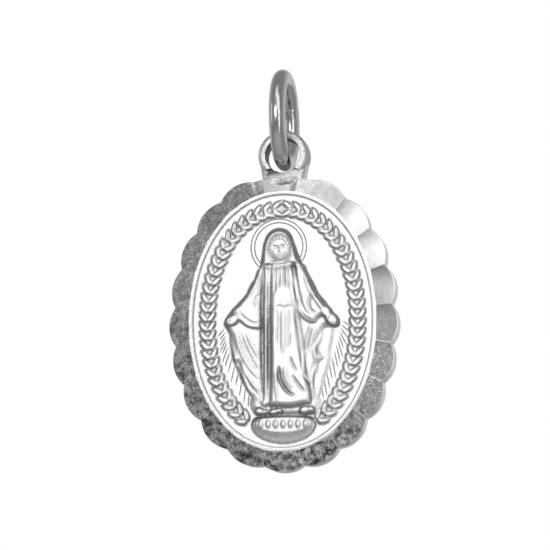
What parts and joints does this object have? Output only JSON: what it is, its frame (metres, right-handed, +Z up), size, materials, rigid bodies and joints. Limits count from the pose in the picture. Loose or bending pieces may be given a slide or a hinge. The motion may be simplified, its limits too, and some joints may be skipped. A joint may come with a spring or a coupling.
{
  "type": "religious medal pendant",
  "caption": "Oval silver medal with a scalloped cut edge, a raised robed figure in a leaf border, a soldered eye and a round-wire jump ring to hang it from a chain.",
  "frame": {"origin": "inside the top of the jump ring, where a chain or cord carries the pendant", "axes": "+Z up through the ring and the medal's height, the medal's face looks along -Y, and the ring's plane is YZ, square to the medal"},
  "size_m": [0.0138, 0.0062, 0.0244],
  "materials": {
    "polished_silver": "bright polished silver wire",
    "struck_silver": "frosted struck silver with bright diamond-cut facets"
  },
  "bodies": {
    "jump_ring": {"jump_ring": "polished_silver"},
    "medal": {"medal": "struck_silver"}
  },
  "joints": [
    {"name": "medal_swing", "type": "hinge", "parent": "jump_ring", "child": "medal", "pos_m": [0, 0, -0.0047], "axis": [0, 1, 0], "range_deg": [-110, 110]}
  ]
}
